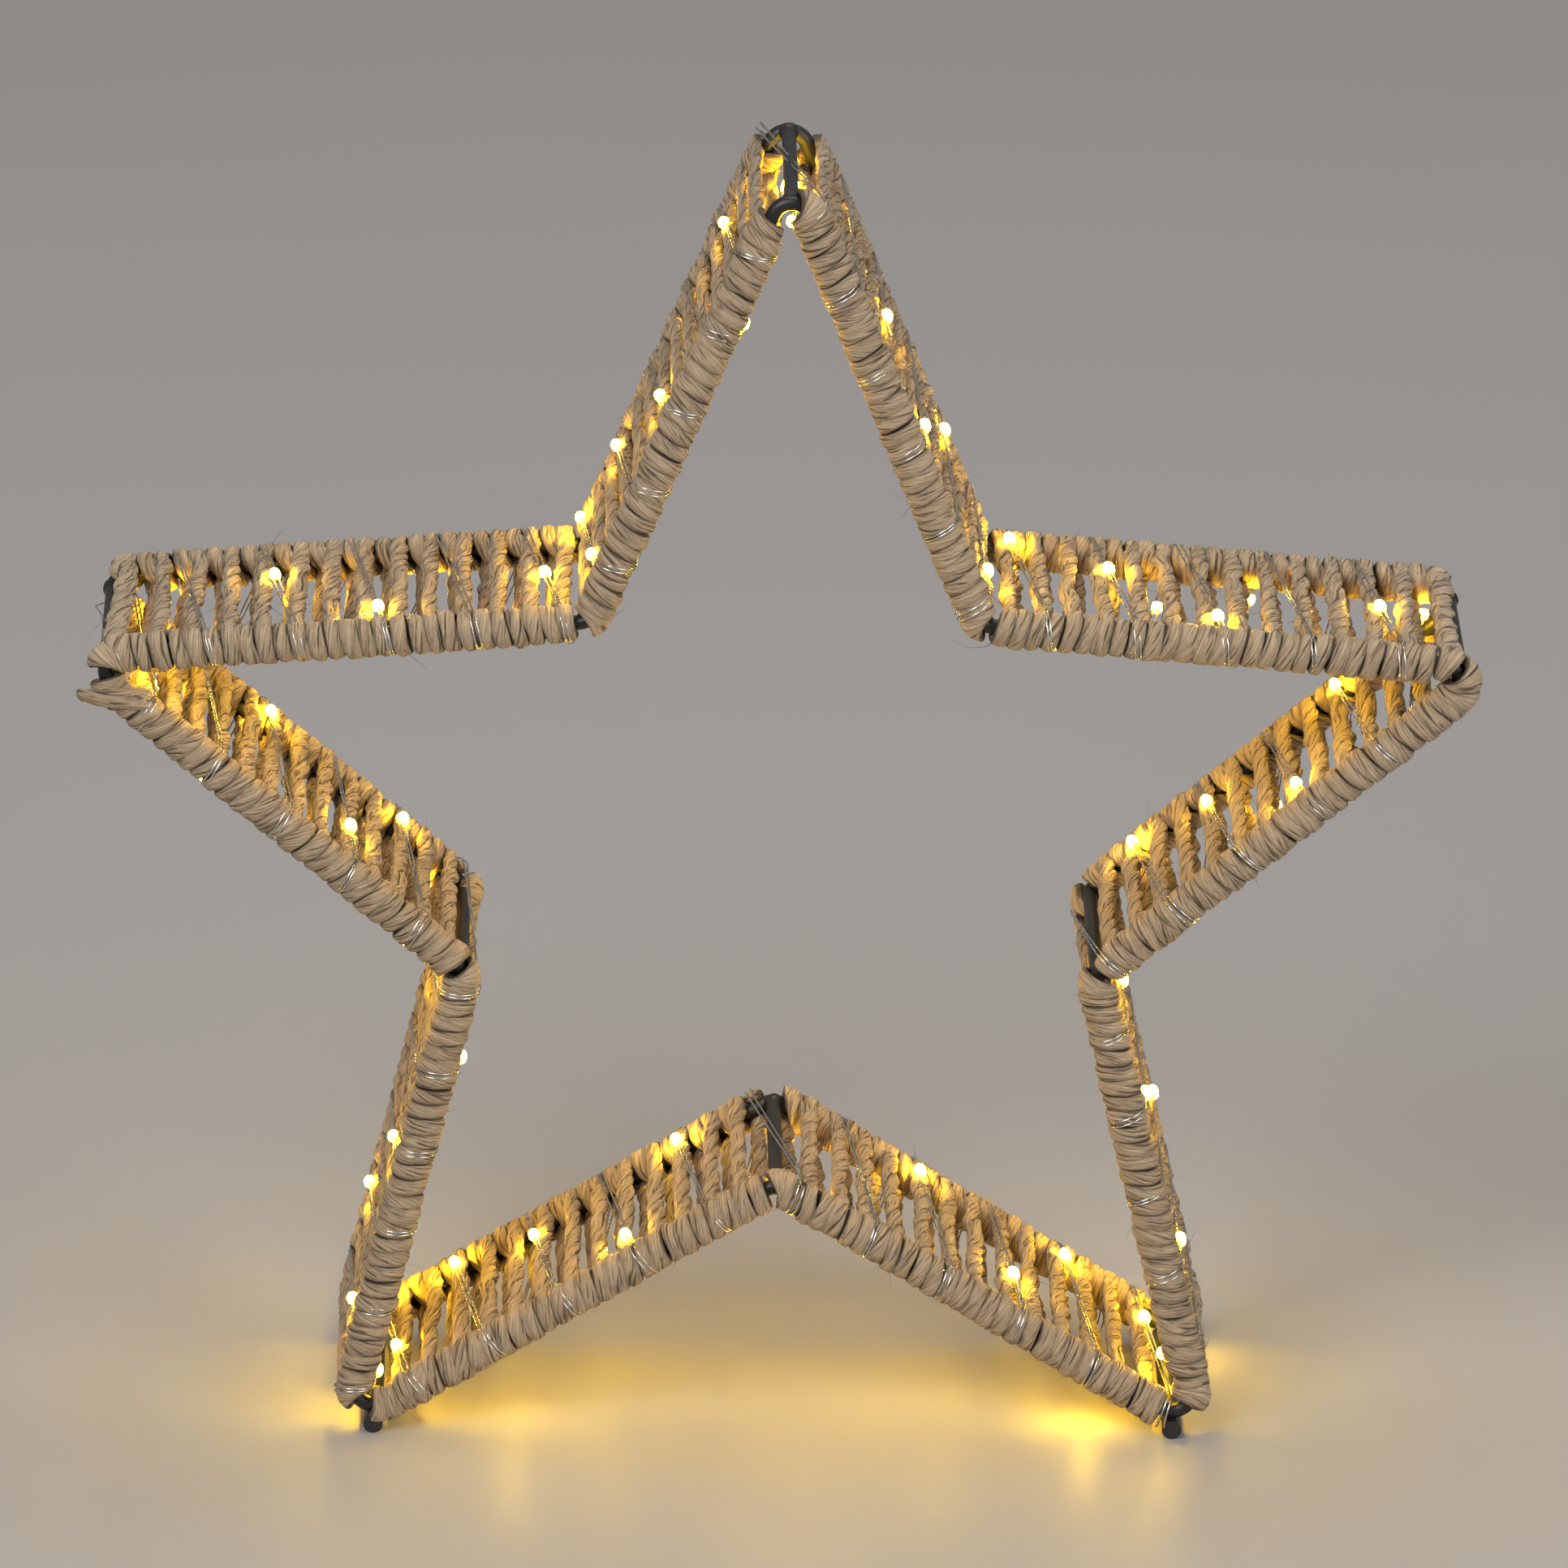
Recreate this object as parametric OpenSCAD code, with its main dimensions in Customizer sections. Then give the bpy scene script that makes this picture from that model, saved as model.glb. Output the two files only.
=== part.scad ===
// Standing five-point star light decoration: two bent wire stars joined by cross bars, each of the
// ten edges wound with paper twine, and a string of small lights wound over the twine.
// The star stands in the XZ plane with its front towards -Y and its foot bars on Z = 0.

/* [Star] */
// Middle of the star to the sharp corner of a tip, along the wire's middle line
tip_r = 204; // [150:1:260]
// Angle between the two edges of a tip
tip_angle = 45; // [36:1:60]
// Distance between the middle lines of the front and back wires
depth = 63; // [40:1:90]

/* [Wire frame] */
// Diameter of the two bent wires
wire_d = 4.2; // [3:0.1:6]
// Bend radius at a tip, to the wire's middle line
tip_bend = 5.4; // [4:0.1:9]
// Bend radius at a notch, to the wire's middle line
notch_bend = 4.5; // [3:0.1:9]
// Gap between the two ends of a bent wire, under the twine
butt_gap = 0.2; // [0.1:0.1:1]
// Diameter of the cross bars
bar_d = 4; // [3:0.1:5]
// Diameter of the foot bars
foot_d = 5.4; // [4:0.1:8]
// How far a foot bar sinks into the wires that stand on it
weld = 0.3; // [0.1:0.1:0.6]
// How far a foot bar stands out past the wires at each end
foot_reach = 1.5; // [0:0.5:6]

/* [Twine] */
// Loops of twine round the two rails of one edge
loops = 13; // [6:1:24]
// Radius of the slanted half turns, which sets the pitch of the loops
slant_r = 4.25; // [4:0.25:5]
// Room between a wire and the twine round it
twine_room = 0.05; // [0.02:0.01:0.2]

/* [Light string] */
// Diameter of each of the two light wires
lead_d = 0.5; // [0.3:0.05:0.8]
// Distance between the middle lines of the two light wires
lead_gap = 1.6; // [1.2:0.1:3]
// Half turns of the light wires along one edge, an odd number
half_turns = 11; // [5:2:17]
// Room between the twine and the light wires round it
lead_room = 0.1; // [0.05:0.05:0.5]
// Length of light wire from one light to the next
light_step = 100; // [50:5:200]
// Diameter of a light drop
drop_d = 3; // [2.6:0.1:5]
// Length of a light drop
drop_l = 5.6; // [4:0.1:9]
// Diameter of the sleeve on the feed end
sleeve_d = 3.4; // [3:0.1:6]
// Length of the sleeve on the feed end
sleeve_l = 14; // [8:1:30]

/* [Hidden] */
$fn = 24;
points = 5;
edges = 2 * points;
sector = 360 / edges;

// The outline: edge k runs clockwise from corner k, and the even corners are the tips
tip_half = tip_angle / 2;
tip_turn = 180 - tip_angle;
notch_turn = tip_turn - 2 * sector;
notch_half = 90 - notch_turn / 2;
notch_r = tip_r * sin(tip_half) / sin(sector + tip_half);
edge_l = tip_r * sin(sector) / sin(sector + tip_half);
tip_cut = tip_bend / tan(tip_half);
notch_cut = notch_bend / tan(notch_half);
straight = edge_l - tip_cut - notch_cut;
tip_axis_r = tip_r - tip_bend / sin(tip_half);
notch_axis_r = notch_r + notch_bend / sin(notch_half);

// The feet: a bar under the lowest point of each lower tip's bends
foot_corners = [4, 6];
bar_corners = [for (k = [0:edges - 1]) if (len(search(k, foot_corners)) == 0) k];
foot_drop = tip_bend + wire_d / 2 + foot_d / 2 - weld;
lift = tip_axis_r * cos(sector) + foot_drop + foot_d / 2;

// The twine: the tilt of a slanted half turn belongs to the triangle 336, 527, 625,
// so that neighbouring pieces of the strand meet in plain decimals
tilt_sin = 336 / 625;
tilt_cos = 527 / 625;
tilt = asin(tilt_sin);
turn_r = slant_r * tilt_cos;
quarter = slant_r * tilt_sin;
pitch = 4 * quarter;
twine_d = 2 * (turn_r - twine_room - wire_d / 2);
wrap_r = turn_r + twine_d / 2;

// The light string: vertices at every 45 degrees round a rail, so that a chord clears the twine
arc_step = 45;
lead_r = (wrap_r + lead_room + lead_d / 2) / cos(arc_step / 2);
bare_r = wire_d / 2 + lead_r - wrap_r;
half_len = depth + PI * lead_r;
tip_arc = tip_bend * tip_turn * PI / 180;
notch_arc = notch_bend * notch_turn * PI / 180;
span = tip_arc / 2 + straight + notch_arc / 2;
start_edge = 2;
first_half = 2;
last_half = edges * half_turns - 1;
drop_margin = 7;
feed_inset = 9;
light_count = floor((last_half - first_half + 1) * half_len / light_step + 0.5);
drop_rise = 0.35;
drop_seat = 0.7;
bore_room = 0.2;
bore_d = lead_d + bore_room;
chip_l = 1.4;
chip_h = 0.6;
chip_room = 0.1;
chip = [chip_l, lead_gap - lead_d - chip_room, chip_h];
sleeve_end = 3;

// Corner, heading and place of the outline
function corner(k) =
    let (r = k % 2 == 0 ? tip_r : notch_r, a = 90 - sector * k)
    [r * cos(a), r * sin(a)];
function heading(k) = tip_half - 90 - sector * (k - k % 2) + (k % 2) * notch_turn;
function ahead(a) = [cos(a), sin(a)];
function left(a) = [-sin(a), cos(a)];
function run_start(k) = corner(k) + ahead(heading(k)) * (k % 2 == 0 ? tip_cut : notch_cut);
function run_middle(k) = run_start(k) + ahead(heading(k)) * straight / 2;

// Point on a bend, back along it (side of travel -1) or on along it (side of travel 1)
function on_bend(at, h, turn_side, r, len, travel) =
    let (h2 = h + travel * turn_side * len / r * 180 / PI)
    [at + turn_side * r * (left(h) - left(h2)), h2];

// Point and heading on the outline at length u, from the tip where the light string starts
function place(u) =
    let (
        e = floor(u / span),
        k = (start_edge + e) % edges,
        v = u - e * span,
        h = heading(k),
        tip_first = k % 2 == 0,
        first_arc = (tip_first ? tip_arc : notch_arc) / 2,
        s = v - first_arc,
        past = s - straight,
        at = run_start(k) + ahead(h) * min(max(s, 0), straight)
    )
    s < 0 ? on_bend(at, h, tip_first ? -1 : 1, tip_first ? tip_bend : notch_bend, -s, -1)
    : past > 0 ? on_bend(at, h, tip_first ? 1 : -1, tip_first ? notch_bend : tip_bend, past, 1)
    : [at, h];

// Radius of the light string's turns: closer in on the bare bend of a tip
function winding_r(u) =
    let (
        away = abs(u - 2 * span * round(u / (2 * span))),
        share = (away - tip_arc / 2 + 1) / 2
    )
    bare_r + (lead_r - bare_r) * min(max(share, 0), 1);

// Half turn q of the light string crosses the outer face (even q) or the inner face (odd q)
// and then goes round a rail. A vertex is at a share of the half turn, with its angle round the rail
function half_u(q, share) = (q + share - depth / 2 / half_len) * span / half_turns;
function lead_point(q, share, along, angle, shift) =
    let (
        p = place(half_u(q, share) + shift),
        r = winding_r(half_u(q, share)),
        side = q % 2 == 0 ? 1 : -1,
        n = side * r * cos(angle),
        y = -side * (along + r * sin(angle)),
        xz = p[0] + left(p[1]) * n
    )
    [xz[0], y, xz[1] + lift];
function flat_point(q, x, shift = 0) =
    lead_point(q, x / half_len, x - depth / 2, 0, shift);
function lead_vertex(q, j, shift) =
    j == 0 ? flat_point(q, 0, shift)
    : lead_point(q, (depth + lead_r * PI * (j - 1) / 4) / half_len, depth / 2, (j - 1) * arc_step, shift);

// The lights: even steps along the wire, moved off the corners and off the rails
function light_raw(m) =
    let (l = light_step * (m + 0.5), q = floor(l / half_len))
    [first_half + q, l - q * half_len];
function light(m) =
    let (
        raw = light_raw(m),
        at_corner = raw[0] % half_turns == 0,
        early = raw[1] < depth / 2,
        q = at_corner ? raw[0] + (early ? -1 : 1) : raw[0],
        x = at_corner ? (early ? depth : 0) : raw[1]
    )
    [q, min(max(x, drop_margin), depth - drop_margin)];
function light_edge(m) = (start_edge + floor(light(m)[0] / half_turns)) % edges;
lights = [for (m = [0:light_count - 1]) light(m)];
feed = [first_half, feed_inset];
tail = [lights[light_count - 1][0], lights[light_count - 1][1] + drop_l / 4];

function unit(v) = v / norm(v);
// Frame of a place on a flat of the light string: X along the wire, Z away from the twine
function flat_frame(at) =
    let (
        o = flat_point(at[0], at[1]),
        e = unit(flat_point(at[0], at[1] + 1) - o),
        h = place(half_u(at[0], at[1] / half_len))[1],
        out = (at[0] % 2 == 0 ? 1 : -1) * left(h),
        g = [out[0], 0, out[1]],
        f = cross(g, e)
    )
    [for (i = [0:2]) [e[i], f[i], g[i], o[i]]];
// Distance between the two light wires, square to them, on a straight edge
lead_pitch = lead_gap * depth / norm([depth, depth / half_len * span / half_turns]);

module on_edge(k) {
    translate([run_middle(k)[0], 0, run_middle(k)[1] + lift])
        rotate([0, -heading(k), 0])
            children();
}

// Puts children at the middle of a corner's bend, with X outward
module at_corner(k) {
    translate([0, 0, lift])
        rotate([0, sector * k - 90, 0])
            translate([k % 2 == 0 ? tip_axis_r : notch_axis_r, 0, 0])
                children();
}

module elbow(r, turn) {
    rotate_extrude(angle = turn)
        translate([r, 0])
            circle(d = wire_d);
}

module tip_elbow() {
    rotate([90, 0, 0])
        rotate([0, 0, -tip_turn / 2])
            elbow(tip_bend, tip_turn);
}

module notch_elbow() {
    rotate([90, 0, 0])
        rotate([0, 0, 180 - notch_turn / 2])
            elbow(notch_bend, notch_turn);
}

// Turns children about Y in steps, one after the other
module turned(steps, i = 0) {
    if (i < len(steps))
        rotate([0, steps[i], 0])
            turned(steps, i + 1) children();
    else
        children();
}

// A tip's bend after a straight run along X, with children going on from its far end.
// The turn is made in steps whose roundings cancel, so that the next run meets the bend
module tip_corner() {
    steps = [21, 23];
    translate([0, 0, -tip_bend]) {
        rotate([-90, 0, 0])
            rotate([0, 0, -90])
                elbow(tip_bend, tip_turn);
        turned([steps[0], steps[1], tip_turn - steps[0] - steps[1]])
            translate([0, 0, tip_bend])
                children();
    }
}

// A notch's bend, which turns the other way
module notch_corner() {
    step = 30;
    translate([0, 0, notch_bend]) {
        rotate([90, 0, 0])
            rotate([0, 0, -90])
                elbow(notch_bend, notch_turn);
        turned([-step, step - notch_turn])
            translate([0, 0, -notch_bend])
                children();
    }
}

// The wire from here on, with so many corners still to come
module bent_wire(corners) {
    ends = corners == edges || corners == 0;
    run = ends ? (straight - butt_gap) / 2 : straight;
    rotate([0, 90, 0])
        cylinder(d = wire_d, h = run);
    if (corners > 0)
        translate([run, 0, 0])
            if (corners % 2 == 0)
                tip_corner() bent_wire(corners - 1);
            else
                notch_corner() bent_wire(corners - 1);
}

module star_wire(y) {
    color("#1b1a19")
        translate([0, y, 0])
            on_edge(start_edge - 1)
                translate([butt_gap / 2, 0, 0])
                    bent_wire(edges);
}

module front_star_wire() {
    star_wire(-depth / 2);
}

module back_star_wire() {
    star_wire(depth / 2);
}

module corner_elbow(k) {
    if (k % 2 == 0)
        tip_elbow();
    else
        notch_elbow();
}

// A bar between the middles of two bends, with its ends cut round the wires
module cross_bar(k) {
    color("#1b1a19")
        at_corner(k)
            difference() {
                translate([k % 2 == 0 ? tip_bend : -notch_bend, 0, 0])
                    rotate([90, 0, 0])
                        cylinder(d = bar_d, h = depth, center = true);
                for (y = [-depth / 2, depth / 2])
                    translate([0, y, 0])
                        corner_elbow(k);
            }
}

// A bar under the lowest point of a lower tip's bends
module foot_bar(k) {
    color("#1b1a19")
        at_corner(k)
            difference() {
                rotate([0, 90 - sector * k, 0])
                    translate([0, 0, -foot_drop])
                        rotate([90, 0, 0])
                            cylinder(d = foot_d, h = depth + wire_d + 2 * foot_reach, center = true);
                for (y = [-depth / 2, depth / 2])
                    translate([0, y, 0])
                        corner_elbow(k);
            }
}

// Half a turn of twine round a rail along X, on its back (side 1) or its front (side -1)
module half_turn(side, r) {
    rotate([0, 90, 0])
        rotate([0, 0, side < 0 ? 180 : 0])
            rotate_extrude(angle = 180)
                translate([r, 0])
                    circle(d = twine_d);
}

module rung(side) {
    translate([0, -depth / 2, side * turn_r])
        rotate([-90, 0, 0])
            cylinder(d = twine_d, h = depth);
}

// One strand: rungs on the outer and the inner face in turn, each going on round both rails,
// and slanted half turns that carry the strand on along a rail to its next rung
module strand() {
    for (j = [0:2 * loops])
        translate([2 * (j - loops) * quarter, 0, 0]) {
            translate([0, -depth / 2, 0])
                half_turn(-1, turn_r);
            rung(j % 2 == 0 ? 1 : -1);
            translate([0, depth / 2, 0])
                half_turn(1, turn_r);
        }
    for (j = [0:loops - 1]) {
        translate([(4 * j + 1 - 2 * loops) * quarter, -depth / 2, 0])
            rotate([0, tilt, 0])
                half_turn(1, slant_r);
        translate([(4 * j + 3 - 2 * loops) * quarter, depth / 2, 0])
            rotate([0, -tilt, 0])
                half_turn(-1, slant_r);
    }
}

module twine(k) {
    color("#b79c75")
        on_edge(k)
            strand();
}

// The vertices of one light wire, shifted along the outline from the pair's middle line
function lead_path(shift) = concat(
    [flat_point(feed[0], feed[1], shift)],
    [for (q = [first_half:last_half], j = [0:4])
        if ((q > first_half || j > 0) && (q < tail[0] || (q == tail[0] && j == 0)))
            lead_vertex(q, j, shift)],
    [flat_point(tail[0], tail[1], shift)]
);

// A four-sided tube along a path: its rings are square to the path, and turned by Y,
// or by a slant on the runs along Y
slant = [0.6, 0, 0.8];
along_y = 0.9;
function ring_frame(path, i) =
    let (
        a = path[max(i - 1, 0)],
        b = path[min(i + 1, len(path) - 1)],
        e = unit(b - a),
        side = unit(cross(e, abs(e[1]) > along_y ? slant : [0, 1, 0]))
    )
    [side, cross(e, side)];
function tube_points(path, d) = [
    for (i = [0:len(path) - 1])
        let (f = ring_frame(path, i))
        for (a = [0:90:270])
            path[i] + d / 2 * (f[0] * cos(a) + f[1] * sin(a))
];
function tube_faces(n) = concat(
    [[0, 1, 2], [0, 2, 3]],
    [for (i = [0:n - 2], j = [0:3])
        let (a = 4 * i + j, b = 4 * i + (j + 1) % 4)
        each [[a, a + 4, b + 4], [a, b + 4, b]]],
    [[4 * n - 4, 4 * n - 2, 4 * n - 3], [4 * n - 4, 4 * n - 1, 4 * n - 2]]
);

module light_wire(side) {
    path = lead_path(side * lead_gap / 2);
    color("silver")
        polyhedron(tube_points(path, lead_d), tube_faces(len(path)), convexity = 10);
}

// The two wires' ways through what sits on them, along X
module wire_ways(l) {
    for (side = [-1, 1])
        translate([0, side * lead_pitch / 2, 0])
            rotate([0, 90, 0])
                cylinder(d = bore_d, h = l, center = true);
}

module chip_block() {
    cube(chip, center = true);
}

// A drop of clear resin round both wires and a chip, flat where it lies on the twine
module drop() {
    r = drop_d / 2;
    half = drop_l / 2 - r;
    difference() {
        translate([0, 0, drop_rise])
            rotate([0, 90, 0])
                rotate_extrude()
                    intersection() {
                        union() {
                            for (z = [-half, half])
                                translate([0, z])
                                    circle(r);
                            translate([-r, -half])
                                square([drop_d, 2 * half]);
                        }
                        translate([0, -drop_l])
                            square([drop_d, 2 * drop_l]);
                    }
        translate([-drop_l, -drop_d, -drop_seat - drop_d])
            cube([2 * drop_l, 2 * drop_d, drop_d]);
        wire_ways(2 * drop_l);
        chip_block();
    }
}

module light_drops(k) {
    color("#ffd36b")
        for (m = [0:light_count - 1])
            if (light_edge(m) == k)
                multmatrix(flat_frame(lights[m]))
                    drop();
}

module light_chips(k) {
    color("#f3efdc")
        for (m = [0:light_count - 1])
            if (light_edge(m) == k)
                multmatrix(flat_frame(lights[m]))
                    chip_block();
}

// The closed sleeve that the feed ends of both wires go into
module feed_sleeve() {
    color("#2a2a28")
        multmatrix(flat_frame(feed))
            difference() {
                translate([-sleeve_end, 0, (sleeve_d - lead_d) / 2 - drop_seat / 2])
                    rotate([0, 90, 0])
                        cylinder(d = sleeve_d, h = sleeve_l);
                for (side = [-1, 1])
                    translate([0, side * lead_pitch / 2, 0])
                        rotate([0, 90, 0])
                            cylinder(d = bore_d, h = sleeve_l);
            }
}

// Least gap of the strand to itself, on points of its middle line over two loops
turn_step = 22.5;
rung_step = depth / 14;
function arc_points(c, a, b, r) = [for (w = [0:turn_step:180]) c + r * (cos(w) * a + sin(w) * b)];
function loop_points(s) = concat(
    [for (y = [depth / 2:-rung_step:-depth / 2]) [s, y, turn_r]],
    arc_points([s, -depth / 2, 0], [0, 0, 1], [0, -1, 0], turn_r),
    arc_points([s + quarter, -depth / 2, 0], [-tilt_sin, 0, -tilt_cos], [0, 1, 0], slant_r),
    arc_points([s + 2 * quarter, -depth / 2, 0], [0, 0, 1], [0, -1, 0], turn_r),
    [for (y = [-depth / 2:rung_step:depth / 2]) [s + 2 * quarter, y, -turn_r]],
    arc_points([s + 2 * quarter, depth / 2, 0], [0, 0, -1], [0, 1, 0], turn_r),
    arc_points([s + 3 * quarter, depth / 2, 0], [-tilt_sin, 0, tilt_cos], [0, -1, 0], slant_r),
    arc_points([s + 4 * quarter, depth / 2, 0], [0, 0, -1], [0, 1, 0], turn_r)
);
two_loops = concat(loop_points(0), loop_points(pitch));
apart = 8;
twine_gap = min([
    for (i = [0:len(two_loops) - 1], j = [i + apart:1:len(two_loops) - 1])
        norm(two_loops[i] - two_loops[j])
]) - twine_d;
echo(twine_gap = twine_gap);

// Least gap between the two light wires, on their vertices
path_a = lead_path(-lead_gap / 2);
path_b = lead_path(lead_gap / 2);
reach = 12;
lead_least = min([
    for (i = [0:len(path_a) - 1], j = [max(0, i - reach):min(len(path_b) - 1, i + reach)])
        norm(path_a[i] - path_b[j])
]) - lead_d;
echo(light_wire_gap = lead_least, light_count = light_count);

front_star_wire();
back_star_wire();
for (i = [1:len(bar_corners)])
    cross_bar(bar_corners[i - 1]);
foot_bar(foot_corners[0]);  // foot_bar_right
foot_bar(foot_corners[1]);  // foot_bar_left
for (i = [1:edges])
    twine(i - 1);
light_wire(-1);  // light_wire_1
light_wire(1);  // light_wire_2
feed_sleeve();
for (i = [1:edges])
    light_drops(i - 1);
for (i = [1:edges])
    light_chips(i - 1);
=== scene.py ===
"""Looks of the standing star light decoration: black wire, paper twine and a string of warm lights."""

import math

import bpy
import numpy as np
from bpy.props import FloatProperty, FloatVectorProperty, IntProperty, PointerProperty
from mathutils import Matrix, Vector


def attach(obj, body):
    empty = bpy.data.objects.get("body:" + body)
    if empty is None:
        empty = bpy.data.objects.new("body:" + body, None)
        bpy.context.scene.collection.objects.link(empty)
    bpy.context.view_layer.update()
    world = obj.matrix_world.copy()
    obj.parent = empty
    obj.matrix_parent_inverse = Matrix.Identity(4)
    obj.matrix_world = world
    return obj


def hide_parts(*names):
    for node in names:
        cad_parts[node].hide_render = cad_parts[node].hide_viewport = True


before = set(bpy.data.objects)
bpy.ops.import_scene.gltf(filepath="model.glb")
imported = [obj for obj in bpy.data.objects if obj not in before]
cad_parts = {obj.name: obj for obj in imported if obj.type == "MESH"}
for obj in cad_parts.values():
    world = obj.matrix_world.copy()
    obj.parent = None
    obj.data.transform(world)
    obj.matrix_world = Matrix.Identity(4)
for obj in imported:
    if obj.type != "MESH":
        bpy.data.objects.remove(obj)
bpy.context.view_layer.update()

bl_info = {
    "name": "Star Light Decoration",
    "version": (1, 0, 0),
    "blender": (4, 5, 0),
    "location": "View3D > Sidebar > Star",
    "description": "Twine, light string, finishes and stage for the wire star",
    "category": "Object",
}

BODY = "root"
EDGES = 10
SECTOR = 36.0
MM = 0.001
TURN = 2 * math.pi
# The largest random phase: a full turn, less a little
PHASE = 6.28
# Millimetres of a strand or a wire for each unit of its UV map's U
UV_LENGTH = 12.0

# The corners that stand on a foot bar and have no cross bar
FOOT_CORNERS = (4, 6)
# Weld beads: distances of their rings from the wire, sides of a ring, the bead's height and how soon it fades
BEAD_RINGS = (-1.6, -0.6, 0.0, 0.5, 1.0, 1.7, 2.6, 3.4)
BEAD_SIDES, BEAD_HIGH, BEAD_FADE = 18, 0.75, 0.9
# How far a bead's skirt lies under the bar's surface, and how much further its last ring does
BEAD_UNDER, BEAD_TUCK = 0.02, 0.25
# Lumps round a bead: their number, and their size as a share of its height
BEAD_LUMPS = ((3, 0.12), (5, 0.08))
BEAD_SEED = 77

# Tilt of the slanted half turns of twine: the triangle 336, 527, 625
TILT_SIN, TILT_COS = 336 / 625, 527 / 625
# Extra wraps of twine on a tip's and on a notch's bend, in front and behind, for each edge
TIP_FRONT = (1, 0, 2, 1, 0, 1, 1, 1, 1, 0)
TIP_BACK = (0, 0, 0, 1, 0, 1, 1, 0, 0, 0)
NOTCH_FRONT = (1, 0, 0, 1, 1, 0, 1, 0, 0, 1)
NOTCH_BACK = (1, 0, 0, 1, 0, 0, 1, 0, 0, 1)
# Where the wraps begin past the straight run, how many radians their ends are tucked in, and points added
WRAP_START, WRAP_TUCK, WRAP_POINTS = -1.3, 0.4, 8
# How far the winding reaches on to the tip's bend, in millimetres, for each edge
TIP_REACH = (0.0, 2.6, 0.0, 0.0, 0.0, 0.0, 0.0, 0.0, 2.6, 0.0)
# How much wider than the others the slanted bands lie, for each edge
SPREAD = (0.45, 0.45, 0.45, 0.45, 0.25, 0.25, 0.45, -0.30, 0.45, 0.45)
# The least distance of the twine on a bend from the bend's middle
BEND_CLEAR = 0.4
# Over how much of a strand's end it is rounded off
END_ROUND = 2.2
TWINE_SEED = 410

# The edge whose loose end crosses the wraps on its tip, and that end's spread and twist
LOOSE_EDGE, LOOSE_SPREAD, LOOSE_ROPE = 7, 0.20, 0.75
# The loose end: its points, its length along the edge and outward, with where these start, how far it stands
# off the winding, and the part of a half wave that it is bowed by
LOOSE_POINTS = 32
LOOSE_ALONG, LOOSE_ALONG_FROM = 14.5, 9.3
LOOSE_OUT, LOOSE_OUT_FROM = 11.4, 4.3
LOOSE_OFF, LOOSE_BOW_FROM, LOOSE_BOW = 2.0, 0.12, 0.58

# How the twine wanders: a size, and the distance from one random knot to the next. The sway is along the edge
# and the rise off the rail, in millimetres. The twist is in radians, and the rest are shares of the form.
RUNG_SWAY, LONG_SWAY, SHORT_SWAY = (0.85, 37.0), (0.42, 8.0), (0.18, 3.5)
RUNG_RISE, SHORT_RISE = (0.20, 14.0), (0.32, 5.0)
TWIST_DRIFT, PLY_DRIFT = (2.7, 17.0), (0.7, 13.0)
LONG_WIDTH, SHORT_WIDTH = (0.08, 21.0), (0.13, 4.5)
LONG_HEIGHT, SHORT_HEIGHT = (0.06, 17.0), (0.12, 4.0)
# Creases along the strand: how many go round it, their depth as a share of it, and their knots' distance
CREASES = ((2, 0.03, 11.0), (3, 0.045, 8.0), (5, 0.045, 6.0), (8, 0.03, 5.0))
CREASE_DRIFT = 3.0
# A band turns into a rung from just past the rail's middle on, over a length
RUNG_FROM, RUNG_OVER = 1.0, 9.0
# The bulge on a rail next to a rung: the length that it grows over, the one that it dies away over, and where
# it ends, counted in the latter
BULGE_GROWS, BULGE_DIES, BULGE_END = 2, 9, 1.2
# A distance that is further than any from one rung to the next
FAR = 99
# The groove between the plies on a band, how much deeper it is on a rung, and its power
PLY_BAND, PLY_RUNG, PLY_POWER = 0.03, 0.25, 0.8
# The power of cosine and sine in a band's ring, and how much more it is in a rung's
BAND_POWER, RUNG_POWER = 0.84, 0.08
# Where the painted shade at a band's sides begins across it, and over how much of the width
RIM_SHADE_FROM, RIM_SHADE_OVER = 0.80, 0.14
# The share of the twist that the finish's creases follow on a band, and how much more on a rung
DRAWN_BAND, DRAWN_RUNG = 0.42, 0.08

# Loose fibres: rings left free at a strand's ends, points along a fibre, and the depth of its root
FRAY_FREE, FRAY_POINTS, FRAY_ROOT = 8, 5, 0.15
# A fibre's half width at its root, how much of that it loses, how flat it is, and the shortest one's share
FRAY_HALF, FRAY_THINS, FRAY_FLAT, FRAY_SHORTEST = 0.11, 0.085, 0.5, 0.35
# How much a fibre goes outward and astray at its root, and in its curl
FRAY_OUT, FRAY_STRAY = 0.35, 0.25
CURL_OUT, CURL_STRAY = 0.45, 0.35
# The length of a fibre in its UV map
FRAY_UV = 0.5

# The edge at whose first tip the light string starts, and its first half turn
START_EDGE, FIRST_HALF = 2, 2
# Points of a half turn of the light wires: shares of the crossing's length, and steps of the arc
CROSS_SHARES, ARC_STEPS = (0.0, 0.04, 0.3, 0.7, 0.96), 10
# The least distance of these points from the wires' ends, and the sides of a wire
LEAD_CLEAR, LEAD_SIDES = 0.5, 8
# The distance between the two wires as a share of its full size: its mean, its swing and how slow that is
GAP_MEAN, GAP_SWING, GAP_SLOW = 0.78, 0.27, 61
# Half profile of a drop, along the wires and across them: a dome that runs out into a short neck
DROP_ALONG = np.array([-1.0, -0.97, -0.80, -0.55, -0.2, 0.2, 0.55, 0.80, 0.97, 1.0])
DROP_ROUND = np.array([0.30, 0.42, 0.68, 0.90, 1.0, 1.0, 0.90, 0.68, 0.42, 0.30])
# Sides of a drop, where its underside is flat, how far it stands off the wires, and its bright core's power
DROP_SIDES, DROP_FLAT, DROP_OFF, CORE_POWER = 12, -0.55, 0.35, 1.6

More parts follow.
